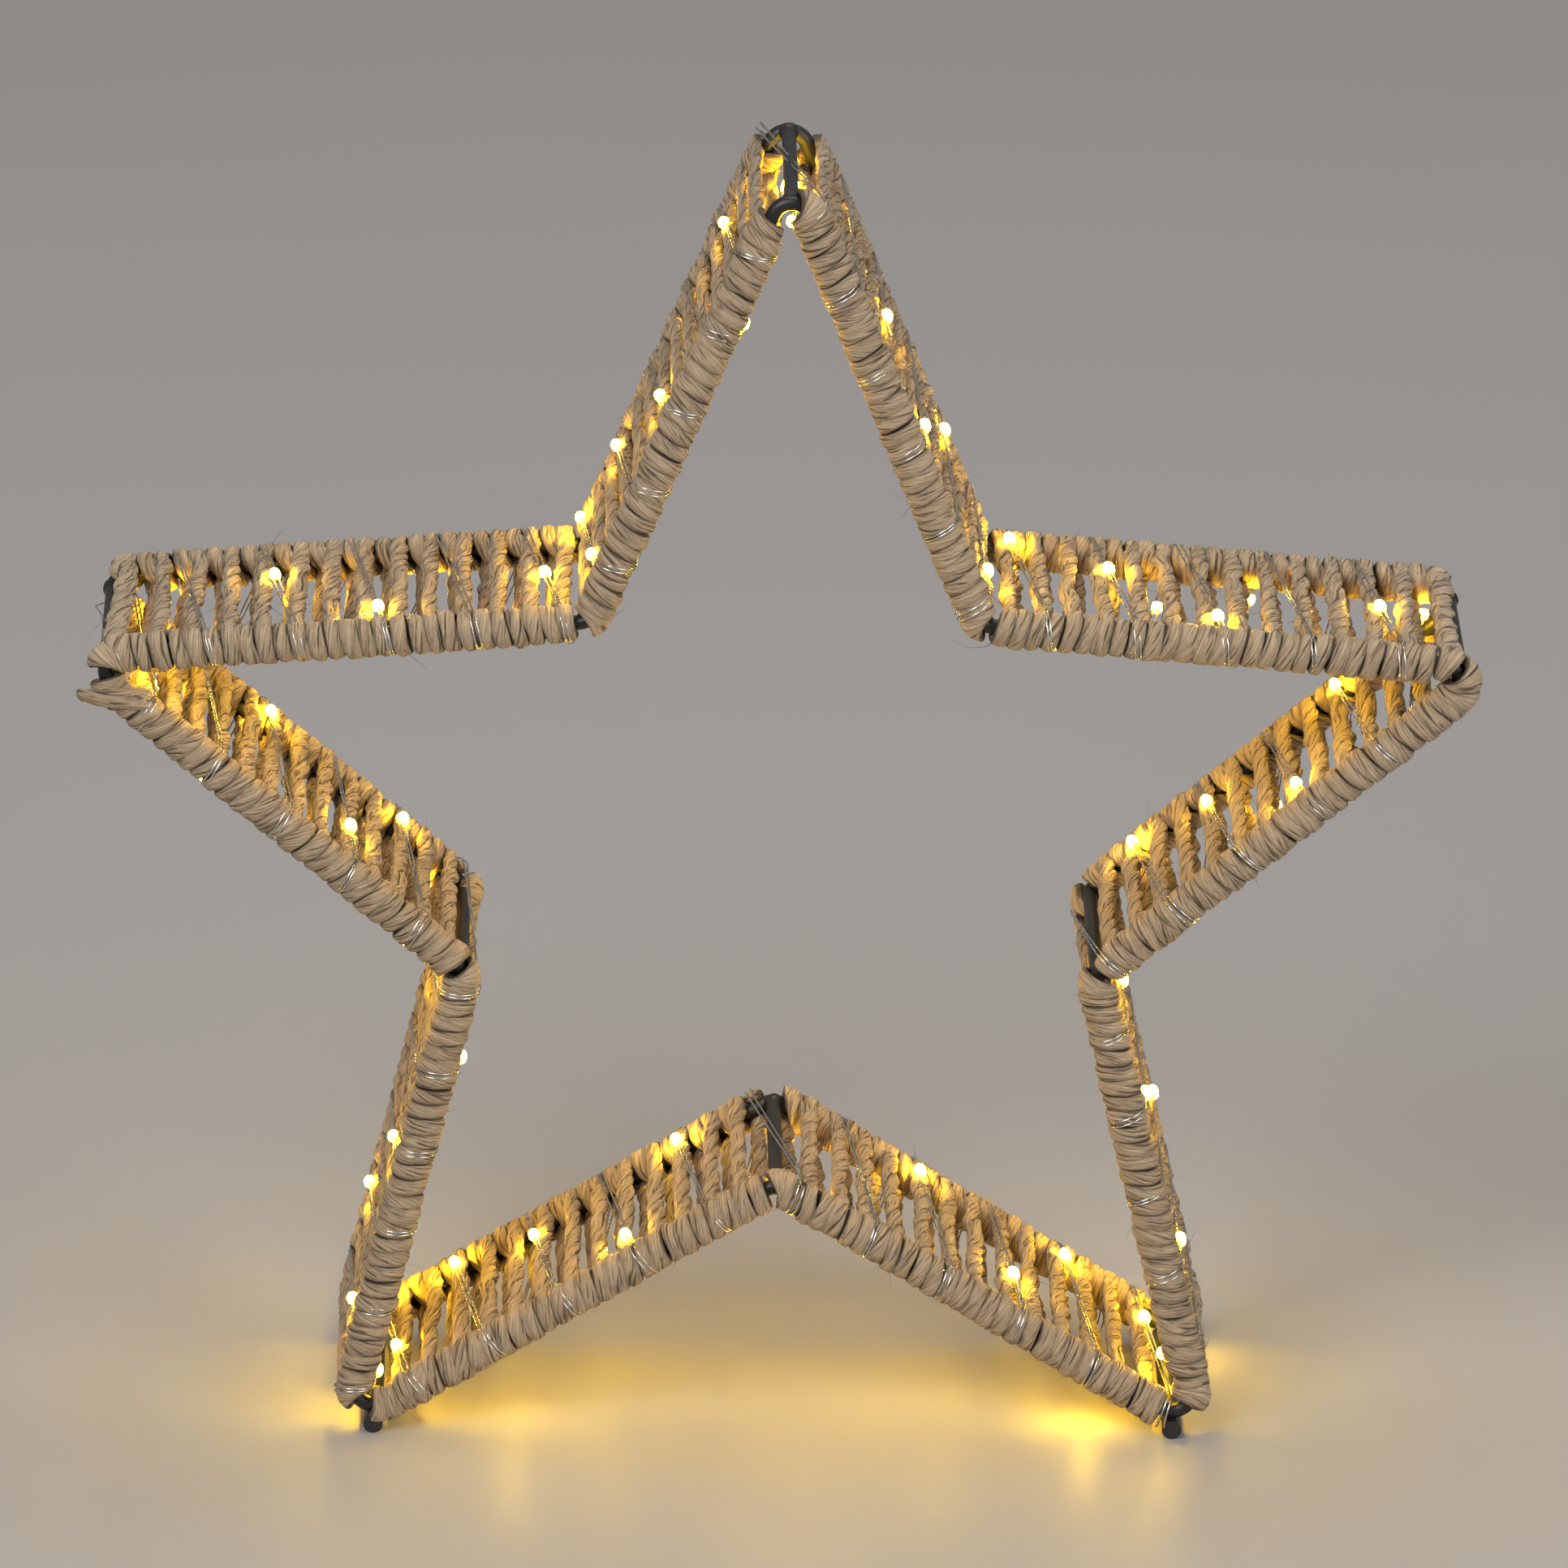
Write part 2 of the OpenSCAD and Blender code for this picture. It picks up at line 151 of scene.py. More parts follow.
# Lamps: name, place in metres, side in metres and watts
LAMPS = (
    ("key", (-1.3, -2.0, 2.2), 1.6, 54.0),
    ("fill", (1.9, -1.8, 1.2), 1.6, 32.0),
    ("top", (0.2, 0.5, 2.4), 1.4, 16.0),
)
LAMP_AIM = (0, 0, 0.18)
SKY_COLOUR, SKY_STRENGTH = (1.0, 0.99, 0.98, 1.0), 0.24


def length(name, description, default):
    """A size that a user can change, in millimetres where its description gives no other unit."""
    return FloatProperty(name=name, description=description, default=default, min=0.0)


def angle(name, description, degrees):
    """An angle that a user can change."""
    return FloatProperty(name=name, description=description, default=math.radians(degrees), subtype="ANGLE")


def number(name, description, default, least):
    """A count that a user can change."""
    return IntProperty(name=name, description=description, default=default, min=least)


def colour(name, description, default):
    """A linear colour that a user can change."""
    return FloatVectorProperty(
        name=name, description=description, default=default, size=3, min=0.0, max=1.0, subtype="COLOR"
    )


class StarShape(bpy.types.PropertyGroup):
    """Sizes in millimetres and paint of the wire frame."""

    tip_r: length("Tip radius", "Middle of the star to the sharp corner of a tip", 204.0)
    tip_angle: length("Tip angle", "Degrees between the two edges of a tip", 45.0)
    depth: length("Depth", "Distance between the front and the back wire", 63.0)
    wire_d: length("Wire", "Diameter of the bent wires", 4.2)
    tip_bend: length("Tip bend", "Bend radius at a tip", 5.4)
    notch_bend: length("Notch bend", "Bend radius at a notch", 4.5)
    bar_d: length("Cross bar", "Diameter of the cross bars", 4.0)
    foot_d: length("Foot bar", "Diameter of the foot bars", 5.4)
    weld: length("Weld", "How far a foot bar sinks into the wires", 0.3)
    paint: colour("Paint", "Colour of the painted wire", (0.0105, 0.0100, 0.0098))


class TwineShape(bpy.types.PropertyGroup):
    """Sizes in millimetres and colours of the paper twine."""

    loops: number("Loops", "Loops of twine on one edge", 13, 1)
    slant_r: length("Slanted radius", "Radius of the slanted half turns", 4.25)
    lay: length("Lay", "Length of one full twist of the two plies", 19.0)
    rung_half: length("Rung half width", "Half the width of a twisted rung", 2.55)
    rung_rise: length("Rung half height", "Half the height of a twisted rung", 1.75)
    band_half: length("Band half width", "Half the width of a flat band on a rail", 2.46)
    band_rise: length("Band half height", "Half the height of a flat band on a rail", 1.56)
    step: length("Step", "Distance from one ring of the surface to the next", 0.75)
    lean: length("Lean", "How far the winding leans, for each millimetre outward", 0.25)
    wrap_step: length("End wrap", "Distance from one wrap on a tip's bend to the next", 4.1)
    notch_step: length("Notch wrap", "How far a wrap on a notch's bend moves on", 2.6)
    bulge: length("Bulge", "How far the strand stands out on a rail next to a rung", 0.75)
    fray: length("Fray", "Longest loose fibre", 6.0)
    frays: number("Frays", "Loose fibres on one edge", 110, 0)
    pale: colour("Pale fibres", "Colour of the fibres that stand out", (0.600, 0.452, 0.296))
    tan: colour("Paper", "Colour of most of the paper", (0.370, 0.264, 0.157))
    # The colour of the tone patches and the fibre hairs, and also of the painted shade in the creases,
    # between the plies and at the bands' sides
    dark_fibre_and_shade: colour("Creases", "Colour in the creases", (0.082, 0.051, 0.026))


class StringShape(bpy.types.PropertyGroup):
    """Sizes in millimetres and colours of the light string."""

    lead_d: length("Light wire", "Diameter of a light wire", 0.5)
    lead_gap: length("Wire gap", "Distance between the two light wires", 1.6)
    lead_r: length("Winding radius", "Radius that the wire's length in one turn is reckoned from", 5.81)
    tight_r: length("Tight radius", "Radius of the turns round a wrapped rail", 5.6)
    bare_r: length("Bare radius", "Radius of the turns round a bare bend", 2.893)
    bare_half: length("Bare half", "Half of the bare wire at a tip", 2.6)
    half_turns: number("Half turns", "Half turns along one edge", 11, 1)
    light_step: length("Light spacing", "Wire from one light to the next", 100.0)
    light_count: number("Lights", "Number of lights", 88, 1)
    drop_d: length("Drop width", "Width of a resin drop", 3.2)
    drop_l: length("Drop length", "Length of a resin drop", 6.0)
    margin: length("Margin", "Least distance of a light from a rail", 7.0)
    feed_inset: length("Feed inset", "Where the wires start on their first crossing", 9.0)
    silver: colour("Silver", "Colour of the light wires", (0.78, 0.76, 0.72))
    glow: colour("Glow", "Colour of the light", (1.0, 0.64, 0.020))
    power: FloatProperty(name="Power", description="Brightness of a drop", default=172.0, min=0.0)


class StageLook(bpy.types.PropertyGroup):
    """Floor and camera."""

    floor: colour("Floor", "Colour of the floor", (0.42, 0.40, 0.385))
    floor_half: length("Floor size", "Half the side of the floor", 9000.0)
    pitch: angle("Pitch", "Camera above the level", 20.65)
    yaw: angle("Yaw", "Camera to the side", -1.14)
    roll: angle("Roll", "Camera turned on its axis", 0.92)
    distance: length("Distance", "Camera to its target", 3928.6)
    target: FloatVectorProperty(
        name="Target",
        description="Where the camera looks, from the star's middle",
        default=(1.0, 0.0, 15.28),
        size=3,
    )
    lens: FloatProperty(name="Lens", description="Focal length", default=325.3, subtype="DISTANCE_CAMERA")


class Value:
    """A shader socket that Python's operators work on: each operator adds a Math node."""

    def __init__(self, finish, socket):
        self.finish, self.socket = finish, socket

    def math(self, operation, *values):
        """A Math node with an operation, on values or numbers."""
        return self.finish.node("ShaderNodeMath", {"operation": operation}, dict(enumerate(values)))

    def __add__(self, other):
        return self.math("ADD", self, other)

    def __sub__(self, other):
        return self.math("SUBTRACT", self, other)

    def __rsub__(self, other):
        return self.math("SUBTRACT", other, self)

    def __mul__(self, other):
        return self.math("MULTIPLY", self, other)

    __radd__ = __add__
    __rmul__ = __mul__


class Finish:
    """A material under construction, with one Principled shader."""

    def __init__(self, name, **constants):
        self.material = bpy.data.materials.new(name)
        self.material.use_nodes = True
        self.tree = self.material.node_tree
        self.shader = self.tree.nodes["Principled BSDF"]
        self.feed(**constants)

    def node(self, kind, settings=None, inputs=None, out=0):
        """Adds a node: its settings first, then the values or links of its sockets."""
        made = self.tree.nodes.new(kind)
        for key, value in (settings or {}).items():
            setattr(made, key, value)
        for key, value in (inputs or {}).items():
            self.set(made.inputs[key], value)
        return Value(self, made.outputs[out])

    def set(self, socket, value):
        """Links a Value to a socket, or sets a constant on it."""
        if isinstance(value, Value):
            self.tree.links.new(value.socket, socket)
        else:
            socket.default_value = value

    def feed(self, **inputs):
        """Feeds the Principled shader's sockets, named in lower case."""
        for key, value in inputs.items():
            self.set(self.shader.inputs[key.replace("_", " ").title().replace("Ior", "IOR")], value)

    def place(self, scale=(1, 1, 1)):
        """Object coordinates, stretched by a scale."""
        return self.stretch(self.node("ShaderNodeTexCoord", out="Object"), scale)

    def strand(self, scale):
        """The piece's own UV map, stretched by a scale: U runs along the strand and V round it."""
        return self.stretch(self.node("ShaderNodeUVMap", {"uv_map": "strand"}), scale)

    def stretch(self, vector, scale):
        """A vector stretched by a scale."""
        return self.node("ShaderNodeMapping", None, {"Vector": vector, "Scale": scale})

    def noise(self, vector, scale=1.0, detail=3.0, roughness=0.55):
        """Noise from 0 to 1 on a vector."""
        return self.node(
            "ShaderNodeTexNoise",
            None,
            {"Vector": vector, "Scale": scale, "Detail": detail, "Roughness": roughness},
        )

    def span(self, value, low, high):
        """A value carried from low to high on to 0 to 1, and clamped."""
        ends = {"From Min": low, "From Max": high, "To Min": 0.0, "To Max": 1.0}
        return self.node("ShaderNodeMapRange", None, {"Value": value, **ends})

    def mix(self, factor, first, second):
        """Two colours mixed by a value."""
        as_colour = lambda c: c if isinstance(c, Value) else (*c, 1.0)
        return self.node(
            "ShaderNodeMix",
            {"data_type": "RGBA"},
            {0: factor, 6: as_colour(first), 7: as_colour(second)},
            out=2,
        )

    def bump(self, height, strength, distance, under=None):
        """A Bump node on a height, over another one if given."""
        inputs = {"Height": height, "Strength": strength, "Distance": distance}
        if under is not None:
            inputs["Normal"] = under
        return self.node("ShaderNodeBump", None, inputs)


class Outline:
    """The star's outline: edge k runs clockwise from corner k, and the even corners are the tips."""

    def __init__(self, star):
        sin, tan = (lambda a: math.sin(math.radians(a))), (lambda a: math.tan(math.radians(a)))
        half = star.tip_angle / 2
        self.star = star
        self.tip_turn = 180 - star.tip_angle
        self.notch_turn = self.tip_turn - 2 * SECTOR
        self.notch_r = star.tip_r * sin(half) / sin(SECTOR + half)
        self.tip_cut = star.tip_bend / tan(half)
        self.notch_cut = star.notch_bend / tan(90 - self.notch_turn / 2)
        edge = star.tip_r * sin(SECTOR) / sin(SECTOR + half)
        self.straight = edge - self.tip_cut - self.notch_cut
        self.tip_arc = star.tip_bend * math.radians(self.tip_turn)
        self.notch_arc = star.notch_bend * math.radians(self.notch_turn)
        self.span = (self.tip_arc + self.notch_arc) / 2 + self.straight
        self.tip_axis = star.tip_r - star.tip_bend / sin(half)
        self.notch_axis = self.notch_r + star.notch_bend / sin(90 - self.notch_turn / 2)
        drop = star.tip_bend + star.wire_d / 2 + star.foot_d / 2 - star.weld
        self.lift = self.tip_axis * math.cos(math.radians(SECTOR)) + drop + star.foot_d / 2

    def heading(self, k):
        """Angle of edge k in degrees: it turns at the tips and back at the notches."""
        return self.star.tip_angle / 2 - 90 - SECTOR * (k - k % 2) + (k % 2) * self.notch_turn

    def start(self, k):
        """Point where the straight run of edge k begins: its corner, moved on by the bend's cut."""
        tip = k % 2 == 0
        r = np.where(tip, self.star.tip_r, self.notch_r)
        a = np.radians(90 - SECTOR * k)
        h = np.radians(self.heading(k))
        cut = np.where(tip, self.tip_cut, self.notch_cut)
        return np.stack([r * np.cos(a) + cut * np.cos(h), r * np.sin(a) + cut * np.sin(h)], -1)

    def place(self, u):
        """Points and headings at lengths u: straight in the runs, and on an arc in the bends."""
        e = np.floor(u / self.span).astype(int)
        k = (START_EDGE + e) % EDGES
        tip = k % 2 == 0
        s = u - e * self.span - np.where(tip, self.tip_arc, self.notch_arc) / 2
        h = np.radians(self.heading(k))
        way = np.stack([np.cos(h), np.sin(h)], -1)
        at = self.start(k) + way * np.clip(s, 0, self.straight)[:, None]
        past = np.where(s < 0, s, np.maximum(s - self.straight, 0))
        at_tip = np.where(s < 0, tip, ~tip)
        turn = np.where(at_tip, -1.0, 1.0)
        r = np.where(at_tip, self.star.tip_bend, self.star.notch_bend)
        bent = h + turn * past / r
        left = lambda a: np.stack([-np.sin(a), np.cos(a)], -1)
        return at + (turn * r)[:, None] * (left(h) - left(bent)), bent

    def to_row(self, k, local):
        """Points of edge k, given along the edge, in depth and outward, in the row's frame in metres.
        Past the straight run they follow the bend, and keep out of its middle."""
        s, y, n = local.reshape(-1, 3).T
        first = (self.notch_arc if k % 2 else self.tip_arc) / 2
        at, h = self.place((k - START_EDGE) % EDGES * self.span + first + self.straight / 2 + s)
        at_tip = (s > 0) == (k % 2 == 1)
        on_tip = np.maximum(n, BEND_CLEAR - self.star.tip_bend)
        on_notch = np.minimum(n, self.star.notch_bend - BEND_CLEAR)
        n = np.where(np.abs(s) > self.straight / 2, np.where(at_tip, on_tip, on_notch), n)
        points = np.stack([at[:, 0] - np.sin(h) * n, y, at[:, 1] + np.cos(h) * n + self.lift], -1)
        return points.reshape(local.shape) * MM

    def straight_on(self, k, local):
        """Points like those of to_row, but carried straight on past the run and not round the bend."""
        frame_at = self.to_row(k, np.concatenate([np.zeros((1, 3)), np.eye(3)]))
        return frame_at[0] + local @ (frame_at[1:] - frame_at[0])


def unit(v):
    """Vectors at length 1."""
    return v / np.linalg.norm(v, axis=-1, keepdims=True)


def smooth(x):
    """The cubic step from 0 to 1."""
    x = np.clip(x, 0, 1)
    return x * x * (3 - 2 * x)


def wander(t, period, rng):
    """A smooth random curve along t: knots from -1 to 1 at each period, joined by cosine steps."""
    x = (t - t[0]) / period
    knots = rng.uniform(-1, 1, int(x[-1]) + 3)
    i = x.astype(int)
    w = (1 - np.cos(np.pi * (x - i))) / 2
    return knots[i] * (1 - w) + knots[i + 1] * w


def run_length(path):
    """The length along a path at each of its points."""
    return np.concatenate([[0], np.cumsum(np.linalg.norm(np.diff(path, axis=0), axis=1))])


def ring_angles(sides):
    """The angles of a ring's points, in even steps."""
    return np.arange(sides) / sides * 2 * np.pi


def surface(name, points, faces, finish, maps=None, values=None):
    """An object from points and four-sided faces, smooth shaded, with UV maps and point values."""
    mesh = bpy.data.meshes.new(name)
    mesh.from_pydata(points, [], faces, shade_flat=False)
    for key, uv in (maps or {}).items():
        layer = mesh.uv_layers.new(name=key)
        layer.uv.foreach_set("vector", np.ascontiguousarray(uv, np.float32).ravel())
    for key, value in (values or {}).items():
        layer = mesh.attributes.new(key, "FLOAT", "POINT")
        layer.data.foreach_set("value", value.astype(np.float32).ravel())
    if mesh.validate():
        raise RuntimeError(f"{name} has faces that don't close")
    mesh.materials.append(finish.material)
    made = bpy.data.objects.new(name, mesh)
    bpy.context.scene.collection.objects.link(made)
    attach(made, BODY)
    return made


def cap_corners(sides):
    """The corners of the strips that close a ring: each joins two neighbours to the two across from them."""
    c = np.arange(sides // 2 - 1)
    return np.stack([c, c + 1, sides - 2 - c, sides - 1 - c], -1)


def tube_faces(rings, sides):
    """Faces of a closed tube: a grid of rings and sides, and at each end the strips across the ring."""
    i = np.arange(rings - 1)[:, None] * sides
    j = np.arange(sides)
    a, b = i + j, i + (j + 1) % sides
    walls = np.stack([a, b, b + sides, a + sides], -1).reshape(-1, 4)
    cap = cap_corners(sides)
    return np.concatenate([walls, cap[:, ::-1], cap + (rings - 1) * sides])


def like_tubes(count, rings, sides):
    """Faces of a number of like closed tubes, whose points follow one another."""
    shift = (np.arange(count) * rings * sides)[:, None, None]
    return (tube_faces(rings, sides) + shift).reshape(-1, 4)


def tube_uv(along, sides, twist=0.0):
    """UV of a tube's face corners: U is given along it, and V goes once round, less the twist's angle."""
    rings = len(along)
    u = np.broadcast_to(along[:, None], (rings, sides + 1))
    v = np.arange(sides + 1) / sides - np.broadcast_to(twist, rings)[:, None] / TURN
    grid = np.stack([u, v], -1)
    walls = np.stack([grid[:-1, :-1], grid[:-1, 1:], grid[1:, 1:], grid[1:, :-1]], 2).reshape(-1, 2)
    cap = cap_corners(sides)
    return np.concatenate([walls, grid[0, cap[:, ::-1].ravel()], grid[-1, cap.ravel()]])


def strand_path(star, twine):
    """Middle line of one edge's twine and its outward side, along the edge, in depth and outward.
    A loop is a rung on the outer face, a half turn round the front rail, a slanted half turn on to the next
    place, a half turn again, a rung on the inner face, and the same three half turns on the back rail."""
    turn_r, quarter = twine.slant_r * TILT_COS, twine.slant_r * TILT_SIN
    front, back = -star.depth / 2, star.depth / 2
    rung_n = int(star.depth / twine.step)
    turn_n = int(math.pi * turn_r / twine.step)
    y = np.linspace(back, front, rung_n, endpoint=False)[:, None]
    w = np.linspace(0, math.pi, turn_n, endpoint=False)[:, None]
    along, deep, out = np.eye(3)

    def rung(s, depths, side):
        return s * along + depths * deep + side * turn_r * out, np.broadcast_to(side * out, (rung_n, 3))

    def turn(s, rail, side, face):
        radial = np.cos(w) * side * out + np.sin(w) * face * deep
        return s * along + rail * deep + turn_r * radial, radial

    def slant(s, rail, side, face):
        lean = -TILT_SIN * along + TILT_COS * side * out
        spoke = twine.slant_r * (np.cos(w) * lean + np.sin(w) * face * deep)
        return (s + quarter) * along + rail * deep + spoke, unit(spoke * (deep + out))

    q = 2 * quarter
    loop = [
        rung(0, y, 1), turn(0, front, 1, -1), slant(0, front, -1, 1), turn(q, front, 1, -1),
        rung(q, -y, -1), turn(q, back, -1, 1), slant(q, back, 1, -1), turn(2 * q, back, -1, 1),
    ]
    points, sides = (np.concatenate(part) for part in zip(*loop))
    offset = (np.arange(twine.loops) * 2 * q)[:, None, None] * along
    first, last = turn(0, back, -1, 1), [rung(0, y, 1), turn(0, front, 1, -1)]
    end = twine.loops * 2 * q * along
    path = np.concatenate(
        [first[0], (points + offset).reshape(-1, 3)] + [part[0] + end for part in last]
    )
    side = np.concatenate([first[1], np.tile(sides, (twine.loops, 1))] + [part[1] for part in last])
    return path - twine.loops * q * along, side


def bulge(t, on_rung):
    """How a strand stands out on the rails next to a rung, from 0 to 1: it grows where it leaves the rung,
    dies away further on, and is 0 on the rung itself."""
    spots = np.concatenate([[t[0] - FAR], t[on_rung], [t[-1] + FAR]])
    i = np.searchsorted(spots, t)
    gap = np.minimum(spots[i] - t, t - spots[i - 1])
    return np.where(on_rung, 0, smooth(gap / BULGE_GROWS) * smooth(BULGE_END - gap / BULGE_DIES))


def strand_rings(path, side, star, twine, rng, lean, spread, rope, sides=20):
    """Surface of one strand round its path, its UV maps and its shade mask, which is 1 at a band's sides,
    where painted shade falls between it and the next band. A ring is
    (w cos^p, h sin^p), flat on the rails and rounder on the rungs, times a two-ply twist:
    1 - c (1 - |cos(a - 2 pi t / lay)|^b), with creases along the strand. A rope of 1 is twisted all the way,
    as a rung is."""
    t = run_length(path)

    def uneven(size, period):
        return size * wander(t, period, rng)

    on_rung = np.maximum(smooth((star.depth / 2 - np.abs(path[:, 1]) + RUNG_FROM) / RUNG_OVER), rope)
    path = path.copy()
    slant = np.abs(np.gradient(path[:, 0]) / np.gradient(t))
    path[:, 0] += uneven(*RUNG_SWAY) * on_rung + uneven(*LONG_SWAY) + uneven(*SHORT_SWAY)
    path[:, 0] += lean * path[:, 2]
    path += side * (uneven(*RUNG_RISE) * on_rung + uneven(*SHORT_RISE))[:, None]
    path += side * (twine.bulge * bulge(t, np.abs(path[:, 1]) < star.depth / 2))[:, None]
    ahead = unit(np.gradient(path, axis=0))
    across = unit(np.cross(side, ahead))
    up = np.cross(ahead, across)
    a = ring_angles(sides)
    twist = TURN * t / twine.lay + uneven(*TWIST_DRIFT) + rng.uniform(0, PHASE)
    ply = np.abs(np.cos(a - twist[:, None]))
    deep = (PLY_BAND + PLY_RUNG * on_rung * (1 + uneven(*PLY_DRIFT)))[:, None]
    shape = 1 - deep * (1 - ply ** PLY_POWER)
    for count, size, period in CREASES:
        shape += size * np.cos(count * a + (uneven(CREASE_DRIFT, period) + rng.uniform(0, PHASE))[:, None])
    wide = twine.band_half + (twine.rung_half - twine.band_half) * on_rung
    wide = wide * (1 + uneven(*LONG_WIDTH) + uneven(*SHORT_WIDTH) + spread * slant)
    high = twine.band_rise + (twine.rung_rise - twine.band_rise) * on_rung
    high = high * (1 + uneven(*LONG_HEIGHT) + uneven(*SHORT_HEIGHT))
    square = BAND_POWER + RUNG_POWER * on_rung[:, None]
    cos, sin = (np.sign(f) * np.abs(f) ** square for f in (np.cos(a), np.sin(a)))
    flat = (cos * wide[:, None])[..., None] * across[:, None]
    rise = (sin * high[:, None])[..., None] * up[:, None]
    # Painted shade at a band's sides, where it meets the next band; none on the rungs
    rim_shade = smooth((np.abs(np.cos(a)) - RIM_SHADE_FROM) / RIM_SHADE_OVER) * (1 - on_rung[:, None])
    drawn = np.cumsum(np.gradient(twist) * (DRAWN_BAND + DRAWN_RUNG * on_rung))
    maps = {"strand": tube_uv(t / UV_LENGTH, sides, drawn), "lay": tube_uv(on_rung, sides, twist)}
    return path[:, None] + (flat + rise) * shape[..., None], maps, rim_shade


def wrap_path(twine, outline, turn_r, turns, step, start, end, rail):
    """Extra wraps of twine on a bend: a helix round the rail at one end of an edge. It begins at a start past
    the straight run and moves on by a step in each turn. The rail is given by its depth."""
    count = int(TURN * turns * turn_r / twine.step) + WRAP_POINTS
    w = np.linspace(-WRAP_TUCK, TURN * turns + WRAP_TUCK, count)
    radial = np.stack([np.zeros_like(w), -math.copysign(1.0, rail) * np.cos(w), end * np.sin(w)], -1)
    s = end * (outline.straight / 2 + start + step * w / TURN)
    path = radial * turn_r + np.stack([s, np.full_like(w, rail), np.zeros_like(w)], -1)
    return path, radial


def loose_path(outline, turn_r, end, rail):
    """The loose end of twine: a short run that crosses a rail slantwise at a tip, bowed over it by a sine."""
    x = np.linspace(0, 1, LOOSE_POINTS)
    s = end * (outline.straight / 2 + LOOSE_ALONG * x - LOOSE_ALONG_FROM)
    bow = np.sin(np.pi * (LOOSE_BOW_FROM + LOOSE_BOW * x))
    y = rail + math.copysign(1.0, rail) * (turn_r + LOOSE_OFF) * bow
    n = LOOSE_OUT * x - LOOSE_OUT_FROM
    radial = np.stack([np.zeros_like(x), y - rail, n], -1)
    return np.stack([s, y, n], -1), unit(radial)


def tip_end(k):
    """The end of edge k that its tip is at: 1 is the far end, and -1 the near one."""
    return 1 if k % 2 else -1


def edge_runs(k, star, twine, outline, winding):
    """The runs of twine on edge k: its winding, drawn on to the tip's bend by the square of the way there,
    the extra wraps on the bends, and the loose end. A run has its path and outward side, what carries it into
    the row's frame, and its spread and rope."""
    path, side = winding
    turn_r, end = twine.slant_r * TILT_COS, tip_end(k)
    far = end * path[:, :1] / path[:, 0].max()
    wound = path + TIP_REACH[k] * end * np.maximum(far, 0) ** 2 * np.eye(3)[0]
    front, back, first = -star.depth / 2, star.depth / 2, TIP_REACH[k] + WRAP_START
    wraps = (
        (TIP_FRONT[k], twine.wrap_step, first, end, front),
        (TIP_BACK[k], twine.wrap_step, first, end, back),
        (NOTCH_FRONT[k], twine.notch_step, WRAP_START, -end, front),
        (NOTCH_BACK[k], twine.notch_step, WRAP_START, -end, back),
    )
    extra = [wrap_path(twine, outline, turn_r, *wrap) for wrap in wraps if wrap[0]]
    runs = [(part, outline.to_row, (SPREAD[k], 0.0)) for part in [(wound, side), *extra]]
    if k == LOOSE_EDGE:
        loose = loose_path(outline, turn_r, end, front)
        runs.append((loose, outline.straight_on, (LOOSE_SPREAD, LOOSE_ROPE)))
    return runs


def round_ends(rings, reach):
    """A strand's rings, closed at both ends by half an ellipse: r sqrt(1 - (1 - d / reach)^2) at a distance d
    from the end. The last ring stays a little open, so that its faces keep a size."""
    middle = rings.mean(1, keepdims=True)
    t = run_length(middle[:, 0])
    near = 1 - np.minimum(t, t[-1] - t) / reach
    return middle + (rings - middle) * np.sqrt(1 - np.clip(near, 0, 0.999) ** 2)[:, None, None]


def fray_rings(rings, twine, rng, count):
    """Loose paper fibres on a strand: each leaves its surface point p along d and curls by e, so that its
    middle line is p + l (x d + x x e), and its four-sided ring thins out to the end."""
    i = rng.integers(FRAY_FREE, len(rings) - FRAY_FREE, count)
    j = rng.integers(0, rings.shape[1], count)
    middle = rings.mean(1)
    base = rings[i, j]
    out = unit(base - middle[i])
    way = unit(middle[i + 1] - middle[i - 1]) * rng.choice([-1.0, 1.0], count)[:, None]
    d = unit(way + FRAY_OUT * out + FRAY_STRAY * rng.normal(size=(count, 3)))
    e = CURL_OUT * out + CURL_STRAY * rng.normal(size=(count, 3))
    x = np.linspace(0, 1, FRAY_POINTS)[:, None]
    reach = (twine.fray * rng.uniform(FRAY_SHORTEST, 1.0, count))[:, None, None]
    line = (base - FRAY_ROOT * out)[:, None] + reach * (x * d[:, None] + x * x * e[:, None])
    ahead = unit(np.gradient(line, axis=1))
    # The small number keeps the side way from vanishing where a fibre stands straight out
    across = unit(np.cross(ahead, out[:, None] + 0.01))
    up = np.cross(ahead, across)
    a = ring_angles(4)
    thin = (FRAY_HALF - FRAY_THINS * x)[None, :, :, None]
    flat = np.cos(a)[:, None] * across[:, :, None] + FRAY_FLAT * np.sin(a)[:, None] * up[:, :, None]
    return line[:, :, None] + thin * flat


def half_length(star, light):
    """The light wire in one half turn: a straight crossing and half a circle."""
    return star.depth + math.pi * light.lead_r


def lead_place(star, light, outline, q, x):
    """Length along the outline at a place x in half turn q: it moves on evenly."""
    half_len = half_length(star, light)
    return (q + x / half_len - star.depth / 2 / half_len) * outline.span / light.half_turns


def lead_path(star, light, outline, shift):
    """Middle line of one light wire. A half turn is a straight crossing of the outer or the inner face and
    an arc of 180 degrees round a rail, while its place moves on evenly along the outline."""
    half_len = half_length(star, light)
    spots = light_spots(star, light)
    tail_half, tail = int(spots[-1, 0]), spots[-1, 1] + light.drop_l / 4
    arc = np.linspace(0, math.pi, ARC_STEPS + 1)[:-1]
    cross = np.array(CROSS_SHARES) * star.depth
    x = np.concatenate([cross, star.depth + arc * light.lead_r])
    q = np.arange(FIRST_HALF, tail_half + 1)
    reach = (q[:, None] * half_len + x).ravel()
    low, high = FIRST_HALF * half_len + light.feed_inset, tail_half * half_len + tail
    reach = reach[(reach > low + LEAD_CLEAR) & (reach < high - LEAD_CLEAR)]
    reach = np.concatenate([[low], reach, [high]])
    gap = shift * (GAP_MEAN + GAP_SWING * np.cos(reach / GAP_SLOW))
    return lead_points(star, light, outline, reach, gap)


